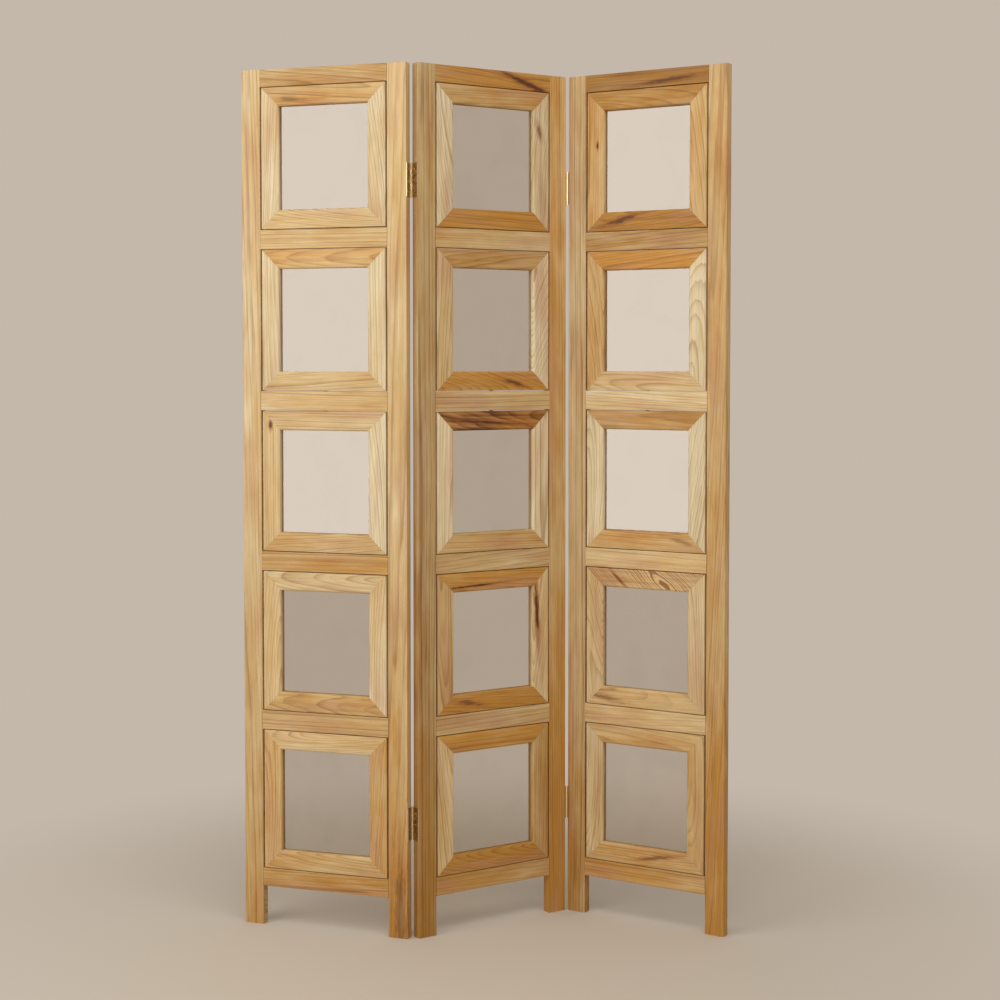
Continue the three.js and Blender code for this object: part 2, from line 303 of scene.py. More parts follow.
# The surface: its plain light, relief, gloss and roughness, and what each kind of figure adds or takes.
PLAIN_LIGHT = 0.92
FIBRE_LIGHTENS = 0.20
GRAIN_LIGHTENS = 0.35
PORES_DARKEN = 0.18
WOOD_BUMP = 0.35
WOOD_RELIEF = 0.0004
FIBRE_RISES = 0.6
LATE_SINKS = 0.5
PORES_SINK = 1.5
WOOD_GLOSS = 0.35
WOOD_ROUGHNESS = 0.62
LATE_SMOOTHS = 0.10
PORES_ROUGHEN = 0.15


def wood(nodes, place, pith, lean, tone, mark=None):
    """Ends a material as planed wood. place is along, across and through the board, in metres. pith is how
    far the tree's middle lies across and through, and lean is how it slants across and through along the
    board, with the width of a ring. tone is the board's lightness, its warmth and its share of heartwood.
    mark is a knot or a dark streak: how far off it is along and across, its slope, half its length and half
    its width, and its darkness."""
    along, across, through = place
    slant, tilt, ring_width = lean
    lightness, warmth, heartwood = tone

    def figure(kind):
        often, often_across, moved, moved_across, detail = FIGURES[kind]
        x, y, z = along * often + moved, across * often_across + moved_across, through * often_across
        return nodes.noise(x, y, z, detail)

    def swing(kind):
        """A figure as a swing to either side of nothing."""
        return figure(kind) - 0.5

    sideways = across - pith[0] - along * slant + swing("sway") * SWAY
    if mark is not None:
        off_along, off_across, slope, half_length, half_width, darkness = mark
        off_across = (off_across - off_along * slope) / half_width
        off_along = off_along / half_length
        reach = (off_along * off_along + off_across * off_across) ** 0.5
        sideways = sideways + nodes.rise(reach, *MARK_BENDS) * half_width * darkness
        reach = reach + swing("ragged") * MARK_RAGGED
    inwards = through - pith[1] - along * tilt
    radius = (sideways * sideways + inwards * inwards) ** 0.5
    growth = nodes.noise(radius * GROWTH_PACE, 0.0, 0.0)
    years = radius / ring_width + figure("drift") * RING_DRIFT + growth * RING_UNEVENNESS
    ring = years % 1.0
    season = nodes.add("ShaderNodeTexWhiteNoise", {"noise_dimensions": "1D"}, {"W": years - ring})
    late = ring.maths("MINIMUM", ring ** RING_POWER, (1.0 - ring) * RING_END) * (season + PALEST_RING)
    patch = swing("patch")
    streak = swing("streak")
    fibre = figure("fibre")
    pores = nodes.rise(figure("pores"), *PORES_SET_IN) * (1.0 - ring)

    warm = warmth + swing("mottle") * MOTTLE_WARMS + patch * PATCH_WARMS
    colour = nodes.blend(nodes.rise(warm, *STRAW_SETS_IN), CREAM, STRAW)
    colour = nodes.blend(nodes.rise(warm, *GOLD_SETS_IN), colour, GOLD)
    colour = nodes.blend(nodes.rise(figure("blush"), *ROSE_SETS_IN) * ROSE_SHARE, colour, ROSE)
    lines = late * LATE_DARKENS + streak * STREAK_DARKENS + patch * PATCH_DARKENS + ALL_DARKENED
    colour = nodes.blend(lines, colour, LATE_WOOD, "MULTIPLY")
    often, often_across, often_through = HEARTWOOD_PACES
    x, y = along * often - across * HEARTWOOD_SKEW, across * often_across + HEARTWOOD_MOVED
    dark = nodes.noise(x, y, through * often_through, HEARTWOOD_DETAIL) + heartwood * HEARTWOOD_DARKENS
    runs_out = slant * slant
    dark = dark + late * (runs_out + LATE_IN_HEARTWOOD) + streak * STREAK_IN_HEARTWOOD
    colour = nodes.blend(nodes.rise(dark, *RUST_SETS_IN) * heartwood * RUST_SHARE, colour, RUST)
    colour = nodes.blend(nodes.rise(dark, *HEART_SETS_IN) * heartwood * HEART_SHARE, colour, HEART)
    if mark is not None:
        colour = nodes.blend(nodes.rise(reach, *MARK_RUST) * darkness * MARK_RUST_SHARE, colour, RUST)
        colour = nodes.blend(nodes.rise(reach, *MARK_HEART) * darkness, colour, HEART)
    light = PLAIN_LIGHT + fibre * FIBRE_LIGHTENS + swing("grain") * GRAIN_LIGHTENS - pores * PORES_DARKEN
    relief = fibre * FIBRE_RISES - late * LATE_SINKS - pores * PORES_SINK
    surface = nodes.add("ShaderNodeBsdfPrincipled", None, {
        "Base Color": nodes.scaled(colour, light * lightness),
        "Roughness": WOOD_ROUGHNESS - late * LATE_SMOOTHS + pores * PORES_ROUGHEN,
        "Specular IOR Level": WOOD_GLOSS,
        "Normal": nodes.bump(relief, WOOD_BUMP, WOOD_RELIEF),
    })
    nodes.add("ShaderNodeOutputMaterial", None, {"Surface": surface})


# Stiles and rails, two and six to a panel, glued together with tenons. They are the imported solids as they
# are, and each board has a cut of wood of its own, so that its lines and its tone differ from the next.

# The tone of each board: the left and right stile of a panel, then its rails from the top one down. Each
# tone is a lightness, a warmth and a share of heartwood.
BOARD_TONES = {
    "left": ("dun", "straw", "tan", "straw", "straw", "honey", "straw", "honey"),
    "middle": ("dusk", "maize", "amber", "straw", "straw", "straw", "straw", "honey"),
    "right": ("umber", "wheat", "brown", "dusk", "pale", "cream", "cream", "honey"),
}
TONES = {
    "pale": (1.00, 0.10, 0.0),
    "dun": (0.92, 0.15, 0.0),
    "cream": (0.98, 0.35, 0.0),
    "straw": (0.91, 0.40, 0.0),
    "tan": (0.80, 0.50, 0.0),
    "wheat": (0.90, 0.60, 0.0),
    "honey": (0.90, 0.70, 0.0),
    "maize": (0.98, 0.70, 0.0),
    "amber": (0.86, 0.95, 0.3),
    "umber": (0.84, 0.35, 0.4),
    "dusk": (0.74, 0.52, 0.4),
    "brown": (0.62, 0.90, 0.6),
}

# Painted shade: the stiles are painted darker and warmer towards the floor, for the dimmer, warmer light that
# falls there.
FOOT_REACH = 0.75
PAINTED_FOOT_SHADE = 0.04
PAINTED_FOOT_WARMTH = 0.50

# Boards whose grain runs out at a slope, and boards with a dark mark: its places along and across, its
# slope, half its length, half its width and its darkness.
BOARD_SLANTS = {
    "left_panel_left_stile_and_top_rail": -0.15,
    "left_panel_right_stile": 0.045,
    "right_panel_right_stile": 0.06,
}
BOARD_MARKS = {
    "middle_panel_left_stile_and_top_rail": (0.075, 0.0, -0.31, 0.060, 0.0060, 0.9),
    "right_panel_left_stile_and_top_rail": (0.050, -0.002, 0.08, 0.070, 0.0040, 0.6),
    "left_panel_right_stile": (0.050, 0.004, 0.0, 0.110, 0.0130, 0.4),
}
SEAM = 0.0001

# How the cuts of wood differ from board to board: where the tree's middle lies across and through the
# board, how far its grain may slant across and through, the width of a ring, the change of lightness and
# warmth, and the length of the log.
PITH_ACROSS = (0.03, 0.11)
PITH_THROUGH = (0.02, 0.05)
STILE_SLANT = 0.018
RAIL_SLANT = 0.06
BOARD_TILT = 0.03
BOARD_RINGS = (0.0042, 0.0075)
BOARD_LIGHTER = (0.97, 1.03)
BOARD_WARMER = 0.1
LOG_LENGTH = 9.0
draw = random.Random(11)


def either_way(most):
    return draw.uniform(-most, most)


def cut_of_wood(tone, is_stile):
    """One board's own figure: the tree's middle, the grain's slant, its tone and its start in the log."""
    lightness, warmth, heartwood = TONES[tone]
    pith = (draw.choice((-1.0, 1.0)) * draw.uniform(*PITH_ACROSS), draw.uniform(*PITH_THROUGH))
    slant = either_way(STILE_SLANT if is_stile else RAIL_SLANT)
    lean = (slant, either_way(BOARD_TILT), draw.uniform(*BOARD_RINGS))
    tone = (lightness * draw.uniform(*BOARD_LIGHTER), warmth + either_way(BOARD_WARMER), heartwood)
    return pith, lean, tone, draw.uniform(0.0, LOG_LENGTH)


def at_log_foot(pith, lean, start):
    """Where the tree's middle lies at the foot of the log, for a board that starts further up."""
    return pith[0] - lean[0] * start, pith[1] - lean[1] * start


def chosen(share, stile_value, rail_value):
    """The stile's value where share is 0, and the rail's where it is 1."""
    return share * (rail_value - stile_value) + stile_value


def dress(name, material):
    """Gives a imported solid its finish."""
    slots = frame["nodes"][name].data.materials
    slots.clear()
    slots.append(material)


for name in sorted(frame["nodes"]):
    if "stile" not in name and "rail" not in name:
        continue
    panel = name.split("_")[0]
    stand = stands[panel]
    turn = stand.to_euler().z
    middle = stand.to_translation()
    nodes = Nodes(bpy.data.materials.new(f"{name}_wood"))
    x, y, up = nodes.place()
    sideways = (x - middle.x) * math.cos(turn) + (y - middle.y) * math.sin(turn)
    through = (y - middle.y) * math.cos(turn) - (x - middle.x) * math.sin(turn)
    low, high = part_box(name)
    is_stile = "stile" in name
    left_tone, right_tone, top_tone, *rail_tones = BOARD_TONES[panel]
    if is_stile:
        side = -1 if "left_stile" in name else 1
        along, across = up, sideways - side * (PANEL_HALF - STILE_WIDTH / 2)
        pith, lean, tone, start = cut_of_wood(left_tone if side < 0 else right_tone, True)
        # painted shade: darker and warmer towards the floor
        foot = nodes.rise(up, FOOT_REACH, 0.0)
        tone = ((1.0 - foot * PAINTED_FOOT_SHADE) * tone[0], foot * PAINTED_FOOT_WARMTH + tone[1], tone[2])
    else:
        along, across = sideways, up - (low.z + high.z) / 2
        count = -1 if "bottom" in name else int(name[-1]) - 1
        pith, lean, tone, start = cut_of_wood(rail_tones[count], False)
    marked_along, marked_across = along, across
    if "top_rail" in name:
        rail_pith, rail_lean, rail_tone, rail_start = cut_of_wood(top_tone, False)
        rail_lean = (BOARD_SLANTS.get(name, rail_lean[0]), *rail_lean[1:])
        joint = STILE_WIDTH - PANEL_HALF
        is_rail = nodes.rise(sideways, joint - SEAM, joint + SEAM)
        marked_along, marked_across = sideways, up - (high.z - STILE_WIDTH / 2)
        along = chosen(is_rail, along, sideways + rail_start - start)
        across = chosen(is_rail, across, marked_across)
        pith = at_log_foot(pith, lean, start)
        rail_pith = at_log_foot(rail_pith, rail_lean, rail_start)
        pith = [chosen(is_rail, a, b) for a, b in zip(pith, rail_pith)]
        lean = [chosen(is_rail, a, b) for a, b in zip(lean, rail_lean)]
        tone = [chosen(is_rail, a, b) for a, b in zip(tone, rail_tone)]
    else:
        lean = (BOARD_SLANTS.get(name, lean[0]), *lean[1:])
        pith = at_log_foot(pith, lean, start)
    mark = None
    if name in BOARD_MARKS:
        mark_along, mark_across, *mark_size = BOARD_MARKS[name]
        mark = (marked_along - mark_along, marked_across - mark_across, *mark_size)
    wood(nodes, (along + start, across, through), pith, lean, tone, mark)
    dress(name, nodes.owner)


# Picture frames, five to a panel. Each is four bars of mixed offcuts, mitred and glued at the corners, with
# a rounded sight edge and a groove for the panes, and turns on a dowel above and a dowel below.
BAR_WIDTH = 0.0375
FRAME_THICKNESS = 0.020
EASED_EDGE = 0.0007
SIGHT_ROUND_WIDTH = 0.0045
SIGHT_ROUND_DEPTH = 0.004
GROOVE_WIDTH = 0.0032
GROOVE_DEPTH = 0.006
MITRE_GAP = 0.0001
ROUND_STEPS = 6
DOWEL_RADIUS = 0.004
DOWEL_CHAMFER = 0.0005
DOWEL_SIDES = 32
DOWEL_IN_BAR = 0.014
CRISP_CORNER = math.radians(30)

# What each point of a frame or a dowel carries for its wood, as wood takes it.
LAYERS = ("place", "pith", "lean", "tone", "mark_place", "mark_size")

# How the bars' cuts differ, as with the boards. In about half of them the grain may slant more.
USUAL_SLANT = 0.05
STEEP_SLANT = 0.16
BAR_TILT = 0.16
BAR_RINGS = (0.0035, 0.0065)
BAR_PITH_ACROSS = 0.06
BAR_PITH_THROUGH = (0.012, 0.05)
BAR_LIGHTER = (0.96, 1.04)
BAR_WARMER = 0.08

# What each bar was cut from, as lightness, warmth and heartwood, and the bars of each frame from the top
# frame down, in the order top, right, bottom, left.
OFFCUTS = {
    "milk": (1.01, -0.12, 0.0),
    "pale": (0.93, -0.15, 0.0),
    "ash": (0.88, -0.03, 0.0),
    "straw": (0.93, 0.25, 0.0),
    "oat": (0.99, 0.25, 0.0),
    "wheat": (0.90, 0.42, 0.0),
    "maize": (0.99, 0.50, 0.0),
    "honey": (0.93, 0.60, 0.0),
    "ochre": (0.82, 0.68, 0.0),
    "olive": (0.74, 0.85, 0.1),
    "gold": (0.99, 0.92, 0.12),
    "amber": (0.93, 0.95, 0.15),
    "rose": (0.88, 0.50, 0.35),
    "streaked": (0.96, 0.45, 0.6),
    "russet": (0.80, 1.00, 0.5),
    "heart": (0.88, 0.85, 1.0),
}
BARS = {
    "left": (
        "rose ash straw ash", "honey ash wheat ash", "straw pale honey straw",
        "straw straw honey straw", "straw honey honey honey",
    ),
    "middle": (
        "ochre ash amber ash", "ochre milk amber straw", "heart milk maize milk",
        "amber oat gold honey", "gold honey amber oat",
    ),
    "right": (
        "olive honey russet honey", "amber pale straw honey", "ochre pale honey pale",
        "streaked straw maize straw", "honey honey maize straw",
    ),
}

# Which way the bar on each side runs, and which way is inwards from it.
SIDES = {
    "top": (Vector((1, 0, 0)), Vector((0, 0, -1))),
    "right": (Vector((0, 0, -1)), Vector((-1, 0, 0))),
    "bottom": (Vector((-1, 0, 0)), Vector((0, 0, 1))),
    "left": (Vector((0, 0, 1)), Vector((1, 0, 0))),
}

# Bars whose grain runs out at a slope.
BAR_SLANTS = {
    ("left", 0, "top"): 0.10,
    ("middle", 1, "right"): 0.45,
    ("right", 2, "right"): 0.16,
    ("right", 3, "top"): 0.90,
    ("right", 3, "left"): -0.20,
}

# Knots and dark streaks, as the bar's panel, frame and side, then the places along and across, the slope,
# half the length, half the width and the darkness.
MARKS = {
    ("left", 0, "top"): (-0.070, 0.006, 0.10, 0.030, 0.0045, 0.45),
    ("left", 2, "left"): (0.111, -0.002, 0.0, 0.008, 0.0040, 0.85),
    ("middle", 0, "right"): (-0.060, 0.004, -0.30, 0.016, 0.0055, 0.55),
    ("middle", 1, "bottom"): (-0.050, -0.004, 0.25, 0.028, 0.0040, 0.70),
    ("middle", 2, "top"): (-0.020, 0.003, 0.06, 0.080, 0.0030, 0.95),
    ("middle", 3, "top"): (-0.050, 0.008, -0.04, 0.055, 0.0022, 0.95),
    ("middle", 3, "right"): (-0.050, 0.009, -0.06, 0.055, 0.0045, 0.95),
    ("middle", 3, "bottom"): (0.060, 0.000, 0.20, 0.030, 0.0050, 0.55),
    ("right", 0, "left"): (0.033, 0.004, 0.0, 0.0065, 0.0026, 1.0),
    ("right", 0, "bottom"): (0.055, 0.002, -0.25, 0.035, 0.0060, 0.75),
    ("right", 2, "bottom"): (-0.080, 0.002, 0.25, 0.030, 0.0045, 0.35),
    ("right", 3, "top"): (-0.060, 0.000, 0.90, 0.018, 0.0030, 0.75),
    ("right", 3, "bottom"): (0.086, -0.005, 0.12, 0.032, 0.0055, 0.45),
    ("right", 4, "bottom"): (-0.030, 0.002, -0.20, 0.040, 0.0040, 0.55),
}
NO_MARK = (0.0, 0.0, 0.0, 1.0, 1.0, 0.0)
DOWEL_WOOD = {
    "pith": (0.05, 0.02, 0.0),
    "lean": (0.0, 0.0, 0.005),
    "tone": (0.95, 0.1, 0.0),
    "mark_place": NO_MARK[:3],
    "mark_size": NO_MARK[3:],
}


def bar_section():
    """A bar's section, as steps in from its outer edge and depths through it, all the way round."""
    face = FRAME_THICKNESS / 2
    turns = [math.pi / 2 * step / ROUND_STEPS for step in range(ROUND_STEPS + 1)]
    front = []
    for turn in reversed(turns):
        front.append((EASED_EDGE * (1 - math.sin(turn)), face - EASED_EDGE * (1 - math.cos(turn))))
    for turn in turns:
        inwards = BAR_WIDTH - SIGHT_ROUND_WIDTH * (1 - math.sin(turn))
        front.append((inwards, face - SIGHT_ROUND_DEPTH * (1 - math.cos(turn))))
    front.append((BAR_WIDTH, GROOVE_WIDTH / 2))
    front.append((BAR_WIDTH - GROOVE_DEPTH, GROOVE_WIDTH / 2))
    return [(step, -depth) for step, depth in front] + front[::-1]


def add_layers(mesh):
    return {name: mesh.verts.layers.float_vector.new(name) for name in LAYERS}


def close_rings(mesh, rings):
    """Joins each ring of points to the next with faces, and closes the first and the last."""
    for ring, following in zip(rings, rings[1:]):
        for n in range(len(ring)):
            m = (n + 1) % len(ring)
            mesh.faces.new((ring[n], ring[m], following[m], following[n]))
    mesh.faces.new(rings[0])
    mesh.faces.new(rings[-1])


def add_bar(mesh, layers, half_length, half_height, side, offcut, slope, mark):
    """Adds one mitred bar, as a closed body with its own cut of wood."""
    along, inwards = SIDES[side]
    start = draw.uniform(0.0, LOG_LENGTH)
    slant = draw.choice((either_way(USUAL_SLANT), either_way(STEEP_SLANT)))
    if slope is not None:
        slant = slope
    lean = Vector((slant, either_way(BAR_TILT), draw.uniform(*BAR_RINGS)))
    pith_across = either_way(BAR_PITH_ACROSS)
    pith = Vector((pith_across, draw.choice((-1, 1)) * draw.uniform(*BAR_PITH_THROUGH), 0.0))
    lightness, warmth, heartwood = OFFCUTS[offcut]
    tone = Vector((lightness * draw.uniform(*BAR_LIGHTER), warmth + either_way(BAR_WARMER), heartwood))
    ends = []
    for end in (-1, 1):
        ring = []
        for step, depth in bar_section():
            run = end * (half_length - step - MITRE_GAP)
            vertex = mesh.verts.new(along * run + inwards * (step - half_height) + Vector((0, depth, 0)))
            across = step - BAR_WIDTH / 2
            vertex[layers["place"]] = Vector((run + start, across, depth))
            vertex[layers["pith"]] = pith - lean * start
            vertex[layers["lean"]] = lean
            vertex[layers["tone"]] = tone
            vertex[layers["mark_place"]] = Vector((run - mark[0], across - mark[1], mark[2]))
            vertex[layers["mark_size"]] = Vector(mark[3:])
            ring.append(vertex)
        ends.append(ring)
    close_rings(mesh, ends)


def add_dowel(mesh, layers, low, high):
    """Adds an upright dowel between two heights, with its ends chamfered."""
    start = draw.uniform(0.0, LOG_LENGTH)
    levels = (
        (low, DOWEL_RADIUS - DOWEL_CHAMFER), (low + DOWEL_CHAMFER, DOWEL_RADIUS),
        (high - DOWEL_CHAMFER, DOWEL_RADIUS), (high, DOWEL_RADIUS - DOWEL_CHAMFER),
    )
    rings = []
    for height, radius in levels:
        ring = []
        for n in range(DOWEL_SIDES):
            turn = 2 * math.pi * n / DOWEL_SIDES
            x, y = radius * math.cos(turn), radius * math.sin(turn)
            vertex = mesh.verts.new((x, y, height))
            vertex[layers["place"]] = Vector((height + start, x, y))
            for layer, value in DOWEL_WOOD.items():
                vertex[layers[layer]] = Vector(value)
            ring.append(vertex)
        rings.append(ring)
    close_rings(mesh, rings)


def as_object(mesh, name):
    """Makes an object of the scene from a mesh that is ready."""
    data = bpy.data.meshes.new(name)
    mesh.to_mesh(data)
    mesh.free()
    made = bpy.data.objects.new(name, data)
    bpy.context.scene.collection.objects.link(made)
    return made


def finished(mesh, name, place, material):
    """Makes a piece from a closed mesh: rounded faces smooth, corners crisp, set in its place."""
    bmesh.ops.recalc_face_normals(mesh, faces=mesh.faces)
    piece = as_object(mesh, name)
    piece.data.transform(place)
    piece.data.shade_smooth()
    piece.data.set_sharp_from_angle(angle=CRISP_CORNER)
    piece.data.materials.append(material)
    return piece


nodes = Nodes(bpy.data.materials.new("picture_frame_wood"))
read = [nodes.add("ShaderNodeAttribute", {"attribute_name": name}, None, "Vector") for name in LAYERS]
place, pith, lean, tone, mark_place, mark_size = (nodes.parts(vector) for vector in read)
wood(nodes, place, pith, lean, tone, mark_place + mark_size)
frame_wood = nodes.owner

for panel in PANELS:
    into_panel = stands[panel].inverted()
    for number, row in enumerate(BARS[panel]):
        node = f"{panel}_panel_picture_frame_{number + 1}"
        places = [into_panel @ v.co for v in frame["nodes"][node].data.vertices]
        half_width = max(place.x for place in places)
        edge = [place.z for place in places if place.x > half_width - EASED_EDGE / 2]
        half_height = (max(edge) - min(edge)) / 2
        centre = (max(edge) + min(edge)) / 2
        dowel_end = max(place.z for place in places) - centre
        stand = stands[panel] @ Matrix.Translation((0, 0, centre))

        mesh = bmesh.new()
        layers = add_layers(mesh)
        for side, offcut in zip(SIDES, row.split()):
            upright = side in ("left", "right")
            halves = (half_height, half_width) if upright else (half_width, half_height)
            slope = BAR_SLANTS.get((panel, number, side))
            mark = MARKS.get((panel, number, side), NO_MARK)
            add_bar(mesh, layers, *halves, side, offcut, slope, mark)
        piece = finished(mesh, f"{panel}_panel_mitred_frame_{number + 1}", stand, frame_wood)
        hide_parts(node)
        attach(piece, f"{panel}_frame_{number + 1}")

        mesh = bmesh.new()
        layers = add_layers(mesh)
        add_dowel(mesh, layers, half_height - DOWEL_IN_BAR, dowel_end)
        add_dowel(mesh, layers, -dowel_end, DOWEL_IN_BAR - half_height)
        piece = finished(mesh, f"{panel}_panel_frame_dowels_{number + 1}", stand, frame_wood)
        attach(piece, f"{panel}_frame_{number + 1}")


# Clear panes, one in each frame: thin acrylic sheets that a picture goes between, held in the groove. They
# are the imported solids, polished, slightly wavy, and faintly smudged by handling. One sheet stands for two,
# so it is tinted as much as two are, and its coat mirrors for the second.
PANE_CLEAR = (0.74, 0.68, 0.61, 1.0)
PANE_SMUDGED = (0.70, 0.65, 0.585, 1.0)
PANE_INDEX = 1.49
PANE_GLOSS = 1.0
PANE_ROUGHNESS = 0.02
PANE_SECOND_INDEX = 1.8
PANE_SECOND_ROUGHNESS = 0.02

# The sheet's waves and the smudges on it. Paces are how often they change in a metre along each axis.
WAVE_PACES = (7.0, 7.0, 5.0)
WAVE_DETAIL = 0.0
WAVE_BUMP = 0.25
WAVE_DEPTH = 0.001
SMUDGE_PACES = (14.0, 14.0, 11.0)
SMUDGE_DETAIL = 3.0
SMUDGES_SET_IN = (0.50, 0.72)
SMUDGE_ROUGHENS = 0.05

nodes = Nodes(bpy.data.materials.new("clear_acrylic"))
place = nodes.place()
waves = nodes.paced(place, WAVE_PACES, WAVE_DETAIL)
smudges = nodes.rise(nodes.paced(place, SMUDGE_PACES, SMUDGE_DETAIL), *SMUDGES_SET_IN)
sheet = nodes.add("ShaderNodeBsdfPrincipled", None, {
    "Base Color": nodes.blend(smudges, PANE_CLEAR, PANE_SMUDGED),
    "Roughness": smudges * SMUDGE_ROUGHENS + PANE_ROUGHNESS,
    "IOR": PANE_INDEX,
    "Specular IOR Level": PANE_GLOSS,
    "Coat Weight": 1.0,
    "Coat Roughness": PANE_SECOND_ROUGHNESS,
    "Coat IOR": PANE_SECOND_INDEX,
    "Transmission Weight": 1.0,
    "Normal": nodes.bump(waves, WAVE_BUMP, WAVE_DEPTH),
})
open_air = nodes.add("ShaderNodeBsdfTransparent", None, {"Color": PANE_CLEAR})
for_lamps = nodes.add("ShaderNodeLightPath", None, None, "Is Shadow Ray")
surface = nodes.add("ShaderNodeMixShader", None, {0: for_lamps, 1: sheet, 2: open_air})
nodes.add("ShaderNodeOutputMaterial", None, {"Surface": surface})
for name in frame["nodes"]:
    if "_pane_" in name:
        dress(name, nodes.owner)


# Butt hinges, an upper and a lower one at each fold: thin stamped brass leaves that cover the edges of the
# stiles, rolled into five knuckles round a pin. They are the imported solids. The leaves are dulled, and the
# knuckles and the leaves' outer edges are worn bright.
BRASS_BRIGHT = paint("#f4e0b4")
BRASS_DULL = paint("#a5855a")
BRASS_METAL = 0.9
BRASS_ROUGHNESS = 0.22
TARNISH_ROUGHENS = 0.16
TARNISH_PACES = (160.0, 160.0, 160.0)
TARNISH_DETAIL = 3.0
TARNISH_SETS_IN = (0.55, 0.95)
HINGE_DULLING = 0.36
SCREW_DULLING = 0.0
SCRATCH_PACES = (900.0, 900.0, 90.0)
SCRATCH_DETAIL = 2.0
SCRATCH_BUMP = 0.1
SCRATCH_DEPTH = 0.0001

# Where the brass is worn, measured out from the nearest pin: from the knuckles inwards, and at the rim.
KNUCKLE_RADIUS = 0.0024
WORN_KNUCKLES = (1.5 * KNUCKLE_RADIUS, 1.1 * KNUCKLE_RADIUS)
WORN_EDGE = 0.0012
WEAR_ROUGHENS = 0.08

hinges = [name for name in sorted(frame["nodes"]) if "hinge" in name]
joints = frame["record"]["behaviour"]["joints"]
pins = [Vector(joint["pos_m"]) for joint in joints if "fold" in joint["name"]]
leaf_reach = max(
    min(math.hypot(v.co.x - pin.x, v.co.y - pin.y) for pin in pins)
    for name in hinges for v in frame["nodes"][name].data.vertices
)


def brass_finish(name, dulling):
    """Brass with fine scratches, and tarnish in patches. dulling is how much of it is tarnished."""
    nodes = Nodes(bpy.data.materials.new(name))
    place = nodes.place()
    x, y = place[:2]
    off_pins = [((x - pin.x) * (x - pin.x) + (y - pin.y) * (y - pin.y)) ** 0.5 for pin in pins]
    off = off_pins[0].maths("MINIMUM", *off_pins)
    worn = nodes.rise(off, *WORN_KNUCKLES)
    worn = nodes.rise(off, leaf_reach - WORN_EDGE, leaf_reach - WORN_EDGE / 2) + worn
    tarnish = nodes.rise(nodes.paced(place, TARNISH_PACES, TARNISH_DETAIL) + dulling, *TARNISH_SETS_IN)
    tarnish = tarnish * (1.0 - worn)
    scratches = nodes.paced(place, SCRATCH_PACES, SCRATCH_DETAIL) * (1.0 - worn)
    surface = nodes.add("ShaderNodeBsdfPrincipled", None, {
        "Base Color": nodes.blend(tarnish, BRASS_BRIGHT, BRASS_DULL),
        "Metallic": BRASS_METAL,
        "Roughness": BRASS_ROUGHNESS + tarnish * TARNISH_ROUGHENS + worn * WEAR_ROUGHENS,
        "Normal": nodes.bump(scratches, SCRATCH_BUMP, SCRATCH_DEPTH),
    })
    nodes.add("ShaderNodeOutputMaterial", None, {"Surface": surface})
    return nodes.owner


hinge_brass = brass_finish("stamped_brass", HINGE_DULLING)
for name in hinges:
    dress(name, hinge_brass)


# Hinge screws, three to a leaf: small countersunk wood screws with a cross recess, turned in flush. Each
# leaf's three are one piece, and go into the edge of the stile that the leaf covers. Their heads lie at the
# leaf's face, which stands a little off that edge.
LEAF_FACE = 0.00115
SCREWS = 3
SCREW_PITCH_SHARE = 1 / 3
HEAD_RADIUS = 0.00162
HEAD_DEPTH = 0.0010
SHANK_RADIUS = 0.0009
SHANK_LENGTH = 0.012
TIP_RADIUS = SHANK_RADIUS / 4
RECESS_WIDTH = 0.0005
RECESS_LENGTH = 0.0022
RECESS_DEPTH = 0.0006
SCREW_SIDES = 24


def one_screw():
    """A screw along +X, with the middle of its flat head at the origin."""
    body = bmesh.new()
    levels = (
        (0.0, HEAD_RADIUS), (-HEAD_DEPTH, SHANK_RADIUS),
        (-SHANK_LENGTH + HEAD_DEPTH, SHANK_RADIUS), (-SHANK_LENGTH, TIP_RADIUS),
    )
    turns = [2 * math.pi * n / SCREW_SIDES for n in range(SCREW_SIDES)]
    rings = []
    for x, radius in levels:
        rings.append([body.verts.new((x, radius * math.cos(t), radius * math.sin(t))) for t in turns])
    close_rings(body, rings)
    bmesh.ops.recalc_face_normals(body, faces=body.faces)
    screw = as_object(body, "screw")
    for size in ((RECESS_WIDTH, RECESS_LENGTH), (RECESS_LENGTH, RECESS_WIDTH)):
        cutter = bmesh.new()
        bmesh.ops.create_cube(cutter, size=1.0)
        bmesh.ops.scale(cutter, vec=(2 * RECESS_DEPTH, *size), verts=cutter.verts)
        recess = as_object(cutter, "recess")
        cut = screw.modifiers.new("recess", "BOOLEAN")
        cut.operation = "DIFFERENCE"
        cut.object = recess
        shaped = bpy.data.meshes.new_from_object(screw.evaluated_get(bpy.context.evaluated_depsgraph_get()))
        screw.modifiers.clear()
        screw.data = shaped
        bpy.data.objects.remove(recess)
    bpy.data.objects.remove(screw)
    return shaped


screw = one_screw()
screw_brass = brass_finish("screw_brass", SCREW_DULLING)
for name in hinges:
    panel = frame["nodes"][name]["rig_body"].split("_")[0]
    into_panel = stands[panel].inverted()
    low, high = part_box(name)
    leaf = [into_panel @ v.co for v in frame["nodes"][name].data.vertices]
    end = 1 if leaf[0].x > 0 else -1
    pitch = (high.z - low.z) * SCREW_PITCH_SHARE
    mesh = bmesh.new()
    for n in range(SCREWS):
        one = screw.copy()
        height = (low.z + high.z) / 2 + (n - (SCREWS - 1) / 2) * pitch
        place = Matrix.Translation((end * (PANEL_HALF + LEAF_FACE), 0, height))
        facing = Matrix.Rotation(0.0 if end > 0 else math.pi, 4, "Z")
        one.transform(place @ facing @ Matrix.Rotation(draw.uniform(0, math.pi), 4, "X"))
        mesh.from_mesh(one)
    piece = finished(mesh, f"{name}_screws", stands[panel], screw_brass)
    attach(piece, f"{panel}_panel")


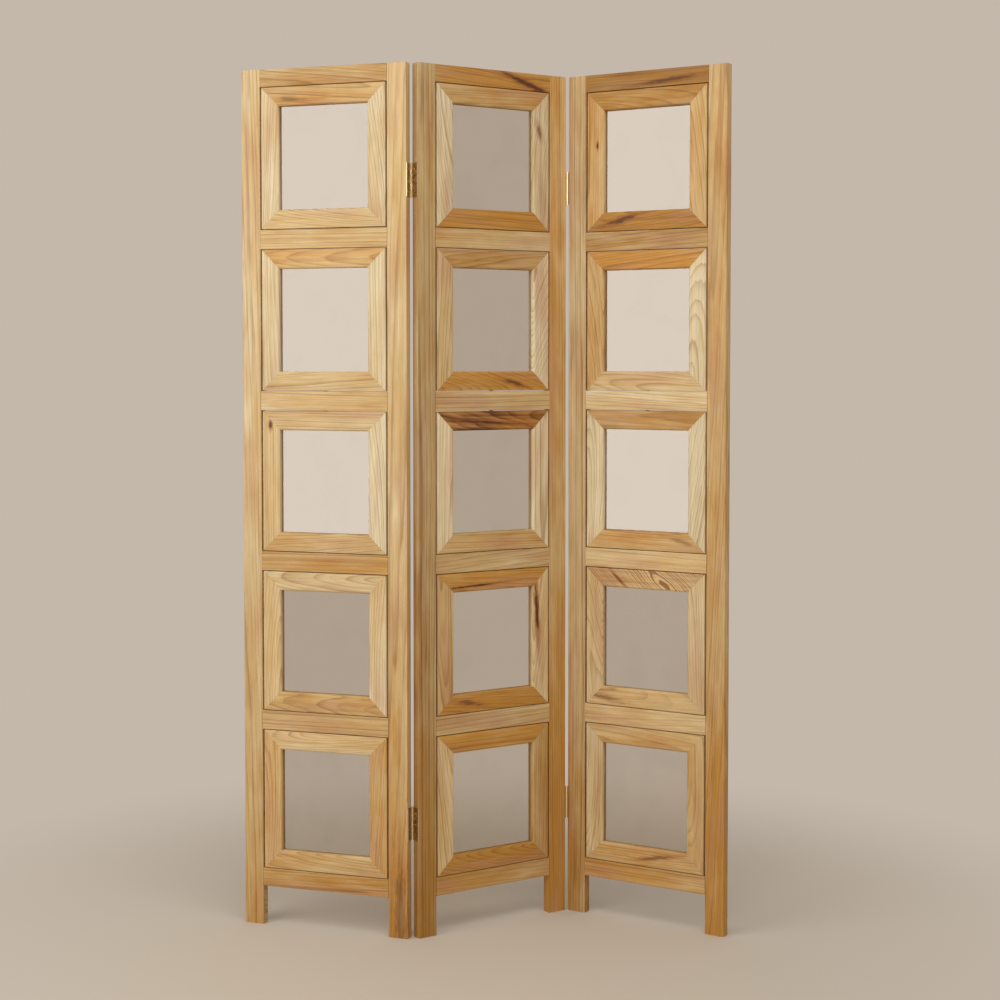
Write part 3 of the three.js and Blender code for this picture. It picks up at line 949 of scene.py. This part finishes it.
# Stage: a plain pale floor under plain soft light, from a wide soft box at the left, one high in front, a
# narrow one at eye level and an even sky.
BACKGROUND = paint("#c4b8ab")
FLOOR = paint("#cfc3b4")
SKY = (1.0, 0.985, 0.96, 1.0)
SKY_STRENGTH = 0.50
FLOOR_SPAN = 40.0
FLOOR_FADES = (0.5, 1.5)

world = bpy.data.worlds.new("sky")
bpy.context.scene.world = world
nodes = Nodes(world)
seen = 0.0
for ray in ("Is Camera Ray", "Is Glossy Ray", "Is Transmission Ray"):
    seen = nodes.add("ShaderNodeLightPath", None, None, ray) + seen
seen = seen.maths("MINIMUM", seen, 1.0)
light = nodes.add("ShaderNodeBackground", None, {"Color": SKY, "Strength": SKY_STRENGTH})
shown = nodes.add("ShaderNodeBackground", None, {"Color": BACKGROUND, "Strength": 1.0})
both = nodes.add("ShaderNodeMixShader", None, {0: seen, 1: light, 2: shown})
nodes.add("ShaderNodeOutputWorld", None, {"Surface": both})

nodes = Nodes(bpy.data.materials.new("pale_floor"))
x, y = nodes.place()[:2]
away = nodes.rise((x * x + y * y) ** 0.5, *FLOOR_FADES)
matt = nodes.add("ShaderNodeBsdfDiffuse", None, {"Color": FLOOR})
glow = nodes.add("ShaderNodeEmission", None, {"Color": BACKGROUND, "Strength": 1.0})
surface = nodes.add("ShaderNodeMixShader", None, {0: away, 1: matt, 2: glow})
nodes.add("ShaderNodeOutputMaterial", None, {"Surface": surface})
mesh = bmesh.new()
bmesh.ops.create_grid(mesh, x_segments=1, y_segments=1, size=FLOOR_SPAN / 2)
floor = as_object(mesh, "floor")
floor.data.materials.append(nodes.owner)
floor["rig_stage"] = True

# Each soft box: its place, the way it faces, its width and height, and its brightness where 1 is white.
SOFT_BOXES = {
    "left_soft_box": ((-1.95, -1.55, 1.62), (0.76, 0.65, 0.0), 1.9, 2.30, 2.3),
    "high_soft_box": ((0.5, -1.7, 3.1), (-0.15, 0.65, -0.75), 2.2, 1.2, 2.8),
    "eye_level_soft_box": ((0.15, -4.4, 1.5), (0.0, 1.0, 0.0), 0.7, 1.8, 3.5),
}
SOFT_BOX_COLOUR = (1.0, 0.965, 0.90)

for name, (place, facing, width, height, brightness) in SOFT_BOXES.items():
    lamp = bpy.data.lights.new(name, "AREA")
    lamp.shape = "RECTANGLE"
    lamp.size = width
    lamp.size_y = height
    lamp.color = SOFT_BOX_COLOUR
    lamp.energy = brightness * math.pi * width * height
    soft_box = bpy.data.objects.new(name, lamp)
    soft_box.location = place
    soft_box.rotation_euler = Vector(facing).to_track_quat("-Z", "Y").to_euler()
    soft_box.visible_camera = False
    soft_box.visible_transmission = False
    bpy.context.scene.collection.objects.link(soft_box)

bpy.context.scene.view_settings.view_transform = "Standard"

low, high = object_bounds()
